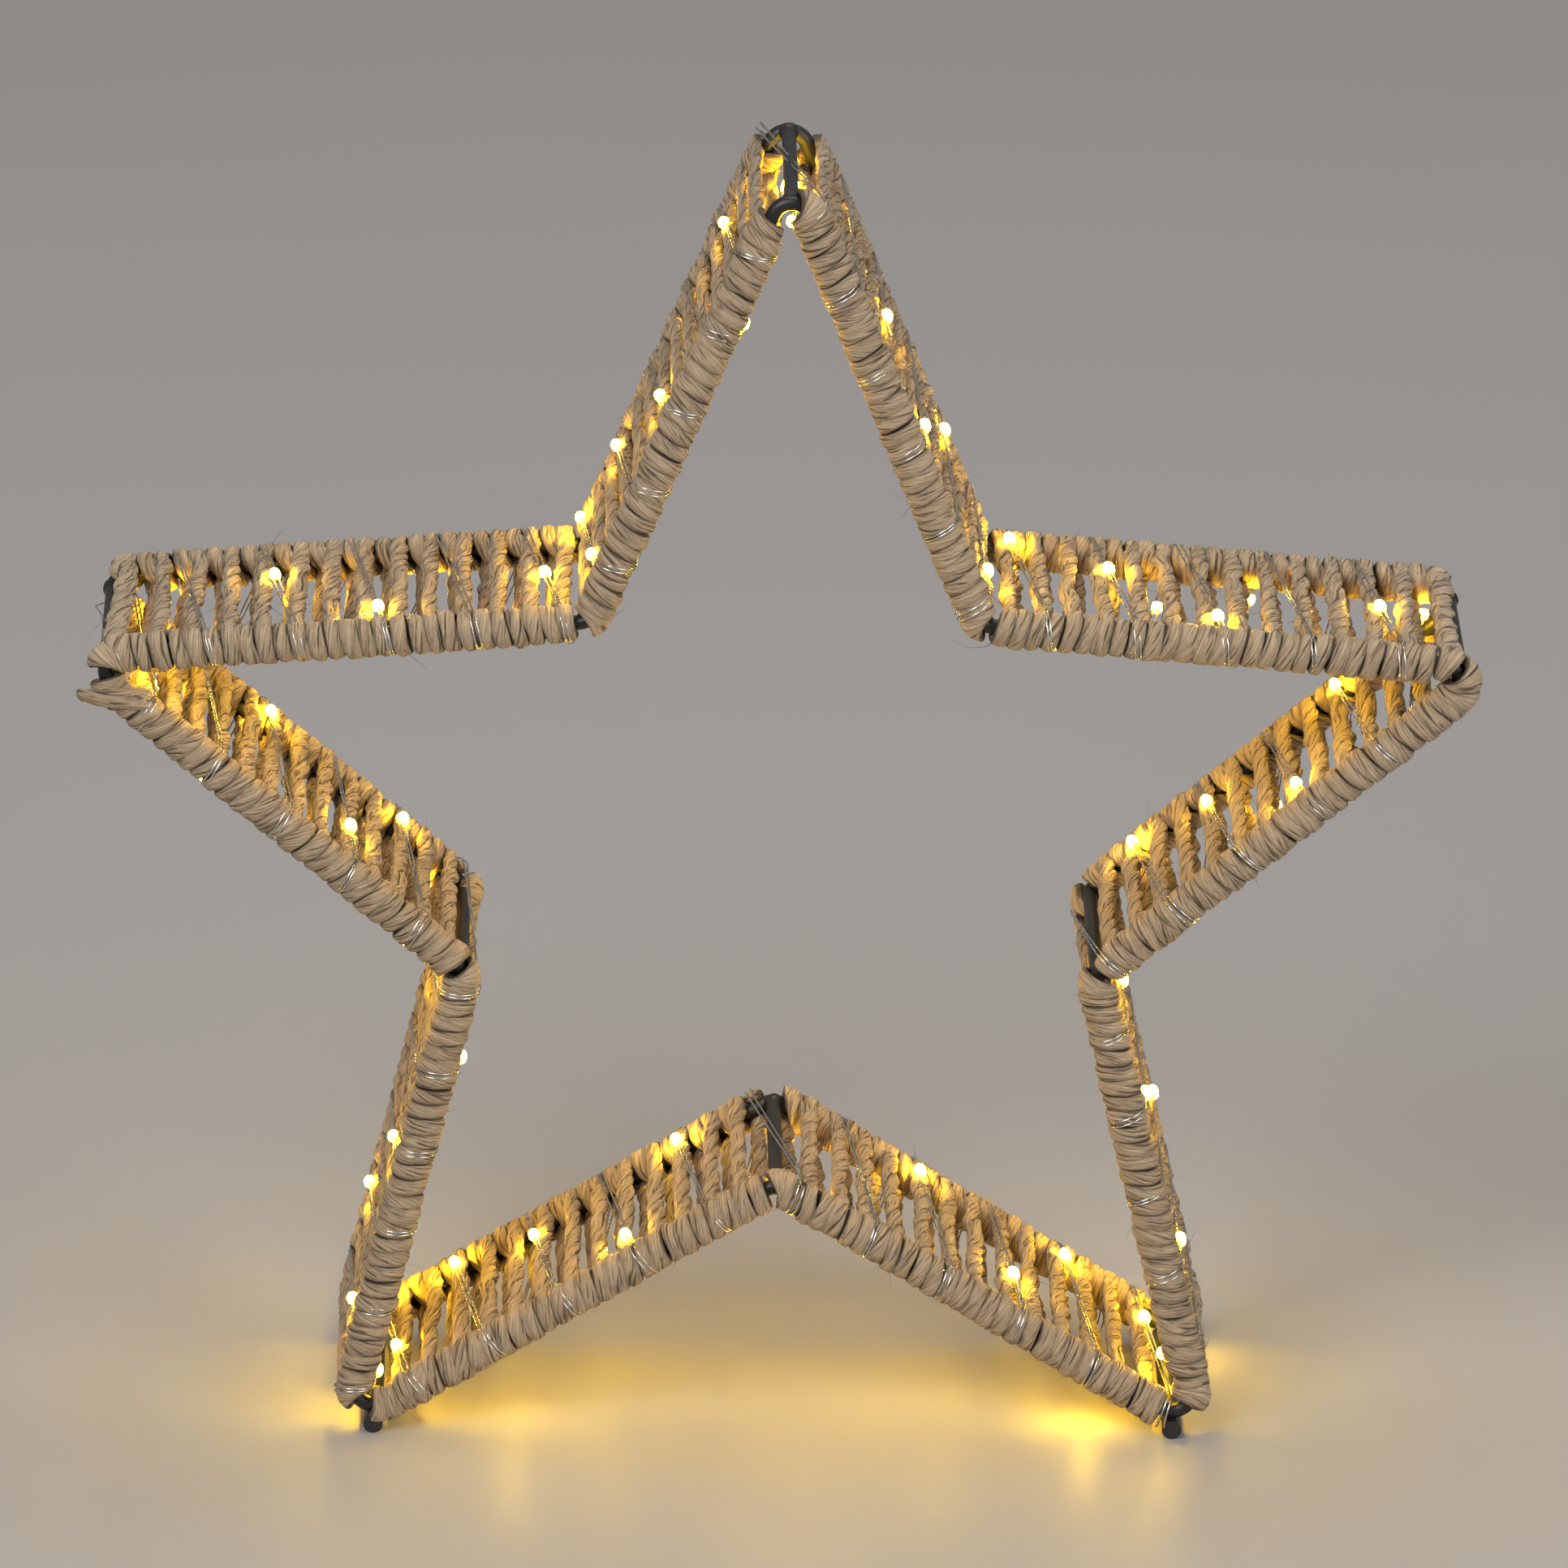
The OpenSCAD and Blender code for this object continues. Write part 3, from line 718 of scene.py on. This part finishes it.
def lead_points(star, light, outline, reach, shift):
    """Points of the light string at a reach along it, in the row's frame in millimetres."""
    half_len = half_length(star, light)
    # The small number keeps a whole half turn from being rounded down
    q = np.floor(reach / half_len + 1e-9).astype(int)
    x = reach - q * half_len
    side = np.where(q % 2 == 0, 1.0, -1.0)

    def at(x):
        turned = np.maximum(x - star.depth, 0) / light.lead_r
        u = lead_place(star, light, outline, q, x)
        spot, h = outline.place(u + shift)
        gap = np.abs(u - 2 * outline.span * np.round(u / (2 * outline.span)))
        share = np.clip((gap - light.bare_half + 1) / 2, 0, 1)
        r = light.bare_r + (light.tight_r - light.bare_r) * share
        n = side * r * np.cos(turned)
        y = -side * (np.minimum(x, star.depth) - star.depth / 2 + r * np.sin(turned))
        return np.stack([spot[:, 0] - np.sin(h) * n, y, spot[:, 1] + np.cos(h) * n + outline.lift], -1)

    share = np.clip(x / star.depth, 0, 1)[:, None]
    straight = at(np.zeros_like(x)) * (1 - share) + at(np.full_like(x, star.depth)) * share
    return np.where((x < star.depth)[:, None], straight, at(x))


def light_spots(star, light):
    """Half turn and place of each light: even steps along the wire, moved off the corners and the rails."""
    half_len = half_length(star, light)
    reach = light.light_step * (np.arange(light.light_count) + 0.5)
    q = np.floor(reach / half_len)
    x, q = reach - q * half_len, q + FIRST_HALF
    corner, early = q % light.half_turns == 0, x < star.depth / 2
    q = np.where(corner, q + np.where(early, -1, 1), q)
    x = np.where(corner, np.where(early, star.depth, 0), x)
    return np.stack([q, np.clip(x, light.margin, star.depth - light.margin)], -1)


def light_frames(star, light, outline):
    """Place, way of the wire, side and outward way of each light, and the edge that it is on."""
    q, x = light_spots(star, light).T
    reach = q * half_length(star, light) + x
    here = lead_points(star, light, outline, reach, 0.0)
    way = unit(lead_points(star, light, outline, reach + 1.0, 0.0) - here)
    h = outline.place(lead_place(star, light, outline, q, x))[1]
    sign = np.where(q % 2 == 0, 1.0, -1.0)
    out = np.stack([-np.sin(h) * sign, np.zeros_like(h), np.cos(h) * sign], -1)
    edge = (START_EDGE + q // light.half_turns).astype(int) % EDGES
    return here, way, np.cross(out, way), out, edge


def paint_finish(star):
    """Satin black paint: fine orange peel, small dull patches and dust-pale specks."""
    finish = Finish("black_paint", specular_ior_level=0.5)
    peel = finish.noise(finish.place(), scale=900.0, detail=2.0)
    patch = finish.noise(finish.place(), scale=70.0, detail=4.0)
    speck = finish.span(finish.noise(finish.place(), scale=420.0, detail=2.0), low=0.66, high=0.74)
    dull = finish.span(patch, low=0.35, high=0.7)
    tone = finish.mix(dull, star.paint, tuple(2.1 * c for c in star.paint))
    finish.feed(
        base_color=finish.mix(speck * 0.35, tone, (0.06, 0.057, 0.052)),
        roughness=0.30 + 0.22 * patch,
        normal=finish.bump(peel, strength=0.25, distance=0.0002),
    )
    return finish


def twine_finish(twine):
    """Natural paper cord: wrinkles that slant across the bands, streaks and hairs of fibre, tone in patches,
    folds between the plies, and painted shade in the wrinkles' creases, between the plies and at the bands'
    sides."""
    finish = Finish("paper_twine", specular_ior_level=0.22, sheen_weight=0.12, sheen_roughness=0.6)
    # The mask of painted shade at the bands' sides, made with the strands
    rim_shade = finish.node("ShaderNodeAttribute", {"attribute_name": "rim_shade"}, out="Fac")
    lay = finish.node("ShaderNodeUVMap", {"uv_map": "lay"})
    on_rung, turn = (finish.node("ShaderNodeSeparateXYZ", None, {0: lay}, out=part) for part in ("X", "Y"))
    ply = turn.math("ABSOLUTE", turn.math("COSINE", turn * TURN))
    wrinkle = finish.noise(finish.strand((1.5, 20.0, 1.0)))
    streak = finish.noise(finish.strand((0.35, 34.0, 1.0)), detail=4.0, roughness=0.6)
    hair = finish.noise(finish.strand((0.9, 110.0, 1.0)), roughness=0.65)
    crumple = finish.noise(finish.strand((4.0, 8.0, 1.0)), roughness=0.6)
    patch = finish.noise(finish.place(), scale=110.0)
    # Painted shade between the plies on the rungs; the same mask also deepens the folds' bumps
    groove = on_rung * finish.span(ply + 0.55 * crumple, low=0.46, high=0.28)
    # Painted shade in the wrinkles' creases, where the wrinkle noise is low
    crease_shade = finish.span(wrinkle, low=0.445, high=0.36)
    tone = finish.mix(finish.span(streak, low=0.36, high=0.66), twine.tan, twine.pale)
    tone = finish.mix(finish.span(patch, low=0.56, high=0.80) * 0.40, tone, twine.dark_fibre_and_shade)
    tone = finish.mix(finish.span(hair, low=0.56, high=0.70) * 0.50, tone, twine.dark_fibre_and_shade)
    # The painted shade in the creases goes on the tone
    tone = finish.mix(crease_shade * 0.95, tone, twine.dark_fibre_and_shade)
    rough = finish.bump(streak * 0.6 + hair * 0.4, strength=0.8, distance=0.0005)
    folds = finish.span(wrinkle, low=0.30, high=0.62) * 0.6 + 1.2 * crumple - 0.8 * groove
    # Painted shade: the colour sinks at the bands' sides and between the plies on the rungs
    shade = finish.span(rim_shade + groove, low=0.10, high=0.90) * 0.90
    finish.feed(
        base_color=finish.mix(shade, tone, twine.dark_fibre_and_shade),
        roughness=0.72 + 0.18 * hair,
        normal=finish.bump(folds, strength=1.0, distance=0.0008, under=rough),
    )
    return finish


def silver_finish(light):
    """Bright lacquered wire, a little uneven in tone and gloss."""
    finish = Finish("silver_wire", metallic=1.0)
    patch = finish.noise(finish.place(), scale=260.0)
    finish.feed(
        base_color=finish.mix(patch, tuple(0.72 * c for c in light.silver), light.silver),
        roughness=0.16 + 0.20 * patch,
    )
    return finish


def resin_finish(light):
    """Lit resin: brightest round the chip and deeper in colour at the ends."""
    finish = Finish("lit_resin", roughness=0.12, emission_strength=light.power)
    core = finish.node("ShaderNodeAttribute", {"attribute_name": "core"}, out="Fac")
    swirl = finish.noise(finish.place(), scale=1500.0, detail=2.0)
    core_glow = finish.span(core + 0.25 * swirl, low=0.10, high=0.75)
    deep = tuple(c * k for c, k in zip(light.glow, (0.30, 0.22, 0.10)))
    finish.feed(
        # The base colour is paler round the chip as well: painted glow under the emission
        base_color=finish.mix(core_glow, (0.75, 0.50, 0.16), (0.95, 0.82, 0.50)),
        emission_color=finish.mix(core_glow, deep, light.glow),
    )
    return finish


def chip_finish(light):
    """The lit chip: pale yellow coating, brighter in its middle grain."""
    finish = Finish("light_chip", roughness=0.4, emission_strength=light.power)
    grain = finish.noise(finish.place(), scale=2600.0, detail=2.0)
    finish.feed(
        base_color=finish.mix(grain, (0.85, 0.70, 0.32), (0.95, 0.88, 0.62)),
        emission_color=finish.mix(grain, light.glow, (1.0, 0.8, 0.4)),
    )
    return finish


def sleeve_finish():
    """Shrunk black sleeve: soft wrinkles across it and a dull shine."""
    finish = Finish("black_sleeve", specular_ior_level=0.4)
    wrinkle = finish.noise(finish.place((300, 1800, 300)))
    finish.feed(
        base_color=finish.mix(wrinkle, (0.014, 0.014, 0.013), (0.035, 0.034, 0.032)),
        roughness=0.42 + 0.2 * wrinkle,
        normal=finish.bump(wrinkle, strength=0.4, distance=0.0003),
    )
    return finish


def floor_finish(look):
    """Smooth pale floor with a faint grain."""
    finish = Finish("pale_floor", specular_ior_level=0.35)
    grain = finish.noise(finish.place(), scale=3.0)
    finish.feed(
        base_color=finish.mix(grain, tuple(0.97 * c for c in look.floor), look.floor),
        roughness=0.42 + 0.1 * grain,
    )
    return finish


def weld_rings(star, outline):
    """Weld beads round the cross bars' ends: radius r + b exp(-d / c) (1 + small lumps) at a distance d from
    the wire, turned round each bar's axis."""
    rng = np.random.default_rng(BEAD_SEED)
    corner = np.array([k for k in range(EDGES) if k not in FOOT_CORNERS])
    tip = corner % 2 == 0
    r = np.where(tip, outline.tip_axis + star.tip_bend, outline.notch_axis - star.notch_bend)
    turn = np.radians(90 - SECTOR * corner)
    at = np.stack([r * np.cos(turn), np.zeros(len(r)), r * np.sin(turn) + outline.lift], -1)
    d = np.array(BEAD_RINGS)[:, None]
    a = ring_angles(BEAD_SIDES)
    rings = []
    for side in (-1, 1):
        lump = 1
        for count, size in BEAD_LUMPS:
            lump = lump + size * np.cos(count * a + rng.uniform(0, PHASE, (len(at), 1, 1)))
        wide = star.bar_d / 2 - BEAD_UNDER + BEAD_HIGH * np.exp(-np.maximum(d, 0) / BEAD_FADE) * lump
        wide = wide - BEAD_TUCK * (d == d[-1])
        y = np.broadcast_to(side * (star.depth / 2 - star.wire_d / 2 - d), wide.shape)
        bead = np.stack([wide * np.cos(a) * side, y, wide * np.sin(a)], -1)
        rings.append(at[:, None, None] + bead)
    return np.concatenate(rings) * MM


def lead_rings(path, light):
    """Surface of a light wire: a circle carried along its path."""
    ahead = unit(np.gradient(path, axis=0))
    # A way to start the circle from: the depth, or a slanted one where the wire itself runs in depth
    in_depth = np.abs(ahead[:, 1:2]) > 0.9
    hint = np.where(in_depth, np.array([0.6, 0.0, 0.8]), np.array([0.0, 1.0, 0.0]))
    across = unit(np.cross(hint, ahead))
    up = np.cross(ahead, across)
    a = ring_angles(LEAD_SIDES)
    circle = np.cos(a)[:, None] * across[:, None] + np.sin(a)[:, None] * up[:, None]
    return (path[:, None] + light.lead_d / 2 * circle) * MM


def drop_rings(light, here, way, side, out):
    """Surfaces of the drops: the half profile turned round the wires, flat underneath, at each light."""
    a = ring_angles(DROP_SIDES)
    wide = light.drop_d / 2
    local = np.stack(np.broadcast_arrays(
        (DROP_ALONG * light.drop_l / 2)[:, None],
        DROP_ROUND[:, None] * np.cos(a) * wide,
        DROP_ROUND[:, None] * np.maximum(np.sin(a), DROP_FLAT) * wide + DROP_OFF,
    ), -1)
    axes = np.stack([way, side, out], 1)
    return here[:, None, None] + np.einsum("ijk,lkm->lijm", local, axes)


def dress(nodes, finish):
    """Gives CAD nodes a finish."""
    for name in nodes:
        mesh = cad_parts[name].data
        mesh.materials.clear()
        mesh.materials.append(finish.material)


class STAR_OT_frame(bpy.types.Operator):
    """Paints the bent wires and the bars, and adds the weld beads at the cross bars' ends"""

    bl_idname = "star.frame"
    bl_label = "Wire frame"

    def execute(self, context):
        star = context.scene.star_shape
        finish = paint_finish(star)
        names = ("star_wire", "cross_bar", "foot_bar")
        dress([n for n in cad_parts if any(part in n for part in names)], finish)
        beads = weld_rings(star, Outline(star))
        made = surface("weld_beads", beads.reshape(-1, 3), like_tubes(*beads.shape[:3]), finish)
        return {"FINISHED"}


class STAR_OT_twine(bpy.types.Operator):
    """Winds the paper twine on the ten edges"""

    bl_idname = "star.twine"
    bl_label = "Paper twine"

    def execute(self, context):
        star, twine = context.scene.star_shape, context.scene.star_twine
        outline = Outline(star)
        finish = twine_finish(twine)
        winding = strand_path(star, twine)
        frays = []
        for k in range(EDGES):
            rng = np.random.default_rng(TWINE_SEED + k)
            points, faces, maps, rim_shades = [], [], [], []
            for part, carry, form in edge_runs(k, star, twine, outline, winding):
                rings, uv, rim_shade = strand_rings(*part, star, twine, rng, tip_end(k) * twine.lean, *form)
                rings = round_ends(rings, END_ROUND)
                count = twine.frays * len(rings) // len(winding[0])
                frays.append(carry(k, fray_rings(rings, twine, rng, count)))
                faces.append(tube_faces(*rings.shape[:2]) + sum(len(p) for p in points))
                points.append(carry(k, rings).reshape(-1, 3))
                maps.append(uv)
                rim_shades.append(rim_shade.ravel())
            made = surface(
                f"twine_cord_{k + 1}",
                np.concatenate(points),
                np.concatenate(faces),
                finish,
                {key: np.concatenate([uv[key] for uv in maps]) for key in maps[0]},
                # The mask of painted shade at the bands' sides goes on with the strands
                {"rim_shade": np.concatenate(rim_shades)},
            )
            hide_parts(f"twine_{k + 1}")
        self.fray(np.concatenate(frays), finish)
        return {"FINISHED"}

    def fray(self, frays, finish):
        """Makes the loose fibres one piece. None of them goes below the floor."""
        frays[..., 2] = np.maximum(frays[..., 2], 0)
        count, rings, sides = frays.shape[:3]
        uv = np.tile(tube_uv(np.linspace(0, FRAY_UV, rings), sides), (count, 1))
        faces = like_tubes(count, rings, sides)
        made = surface("twine_frays", frays.reshape(-1, 3), faces, finish, {"strand": uv})


class STAR_OT_light_wires(bpy.types.Operator):
    """Winds the two silver wires of the light string"""

    bl_idname = "star.light_wires"
    bl_label = "Light wires"

    def execute(self, context):
        star, light = context.scene.star_shape, context.scene.star_string
        outline = Outline(star)
        finish = silver_finish(light)
        for wire, way in ((1, -1), (2, 1)):
            path = lead_path(star, light, outline, way * light.lead_gap / 2)
            made = surface(
                f"silver_wire_{wire}",
                lead_rings(path, light).reshape(-1, 3),
                tube_faces(len(path), LEAD_SIDES),
                finish,
                {"strand": tube_uv(run_length(path) / UV_LENGTH, LEAD_SIDES)},
            )
            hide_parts(f"light_wire_{wire}")
        return {"FINISHED"}


class STAR_OT_light_drops(bpy.types.Operator):
    """Sets the lit resin drops on the light wires"""

    bl_idname = "star.light_drops"
    bl_label = "Light drops"

    def execute(self, context):
        star, light = context.scene.star_shape, context.scene.star_string
        finish = resin_finish(light)
        *places, edge = light_frames(star, light, Outline(star))
        points = drop_rings(light, *places)
        core = np.repeat(1 - np.abs(DROP_ALONG) ** CORE_POWER, DROP_SIDES)
        for k in range(EDGES):
            mine = points[edge == k]
            made = surface(
                f"lit_drops_{k + 1}",
                mine.reshape(-1, 3) * MM,
                like_tubes(*mine.shape[:3]),
                finish,
                None,
                {"core": np.tile(core, len(mine))},
            )
            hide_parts(f"light_drops_{k + 1}")
        return {"FINISHED"}


class STAR_OT_light_chips(bpy.types.Operator):
    """Finishes the chips inside the drops and the sleeve on the feed end"""

    bl_idname = "star.light_chips"
    bl_label = "Chips and sleeve"

    def execute(self, context):
        chips = [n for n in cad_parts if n.startswith("light_chips")]
        dress(chips, chip_finish(context.scene.star_string))
        dress(["feed_sleeve"], sleeve_finish())
        return {"FINISHED"}


class STAR_OT_stage(bpy.types.Operator):
    """Makes the floor, the lamps and the camera"""

    bl_idname = "star.stage"
    bl_label = "Stage"

    def execute(self, context):
        scene, look, star = context.scene, context.scene.star_stage, context.scene.star_shape
        self.floor(scene, look)
        self.lamps(scene)
        self.camera(scene, look, Outline(star).lift)
        scene.view_settings.view_transform = "Standard"
        return {"FINISHED"}

    def floor(self, scene, look):
        """A level floor that fills the view from every side: a square round the star."""
        corners = look.floor_half * MM * np.array([(-1, -1, 0), (1, -1, 0), (1, 1, 0), (-1, 1, 0)])
        mesh = bpy.data.meshes.new("floor")
        mesh.from_pydata(corners, [], [(0, 1, 2, 3)])
        mesh.materials.append(floor_finish(look).material)
        made = bpy.data.objects.new("floor", mesh)
        scene.collection.objects.link(made)

    def lamps(self, scene):
        """Three large soft lamps and an even sky."""
        for name, spot, size, watts in LAMPS:
            lamp = bpy.data.lights.new(name, "AREA")
            lamp.size, lamp.energy = size, watts
            made = bpy.data.objects.new(name, lamp)
            made.location = spot
            made.rotation_euler = (Vector(LAMP_AIM) - Vector(spot)).to_track_quat("-Z", "Y").to_euler()
            scene.collection.objects.link(made)
        world = bpy.data.worlds.new("sky")
        world.use_nodes = True
        sky = world.node_tree.nodes["Background"].inputs
        sky["Color"].default_value, sky["Strength"].default_value = SKY_COLOUR, SKY_STRENGTH
        scene.world = world

    def camera(self, scene, look, lift):
        """The photograph's view: the camera looks at its target from a distance, above the level."""
        cy, sy, cp, sp = math.cos(look.yaw), math.sin(look.yaw), math.cos(look.pitch), math.sin(look.pitch)
        right, level = Vector((cy, sy, 0)), Vector((-sy, cy, 0))
        ahead = cp * level - sp * Vector((0, 0, 1))
        up = sp * level + cp * Vector((0, 0, 1))
        cr, sr = math.cos(look.roll), math.sin(look.roll)
        x, y = cr * right + sr * up, cr * up - sr * right
        spot = (Vector(look.target) + Vector((0, 0, lift)) - look.distance * ahead) * MM
        eye = bpy.data.cameras.new("camera")
        eye.lens, eye.sensor_width, eye.clip_end = look.lens, 36.0, 50.0
        made = bpy.data.objects.new("camera", eye)
        made.matrix_world = Matrix((x, y, -ahead)).transposed().to_4x4()
        made.location = spot
        scene.collection.objects.link(made)
        scene.camera = made


OPERATORS = (
    STAR_OT_frame,
    STAR_OT_twine,
    STAR_OT_light_wires,
    STAR_OT_light_drops,
    STAR_OT_light_chips,
    STAR_OT_stage,
)
GROUPS = {
    "star_shape": StarShape,
    "star_twine": TwineShape,
    "star_string": StringShape,
    "star_stage": StageLook,
}


class STAR_PT_panel(bpy.types.Panel):
    """Lists the star's pieces"""

    bl_label = "Star light decoration"
    bl_idname = "STAR_PT_panel"
    bl_space_type = "VIEW_3D"
    bl_region_type = "UI"
    bl_category = "Star"

    def draw(self, context):
        for operator in OPERATORS:
            self.layout.operator(operator.bl_idname)
        for name, group in GROUPS.items():
            box = self.layout.box()
            for key in group.__annotations__:
                box.prop(getattr(context.scene, name), key)


def register():
    """Registers the groups of sizes on the scene, then the operators and the panel."""
    for name, group in GROUPS.items():
        bpy.utils.register_class(group)
        setattr(bpy.types.Scene, name, PointerProperty(type=group))
    for made in OPERATORS + (STAR_PT_panel,):
        bpy.utils.register_class(made)


def unregister():
    """Takes away what register added."""
    for made in (STAR_PT_panel,) + OPERATORS:
        bpy.utils.unregister_class(made)
    for name, group in GROUPS.items():
        delattr(bpy.types.Scene, name)
        bpy.utils.unregister_class(group)


def main():
    """Makes the stage and every piece."""
    register()
    bpy.ops.star.stage()
    bpy.ops.star.frame()
    bpy.ops.star.twine()
    bpy.ops.star.light_wires()
    bpy.ops.star.light_drops()
    bpy.ops.star.light_chips()


if __name__ == "__main__":
    main()
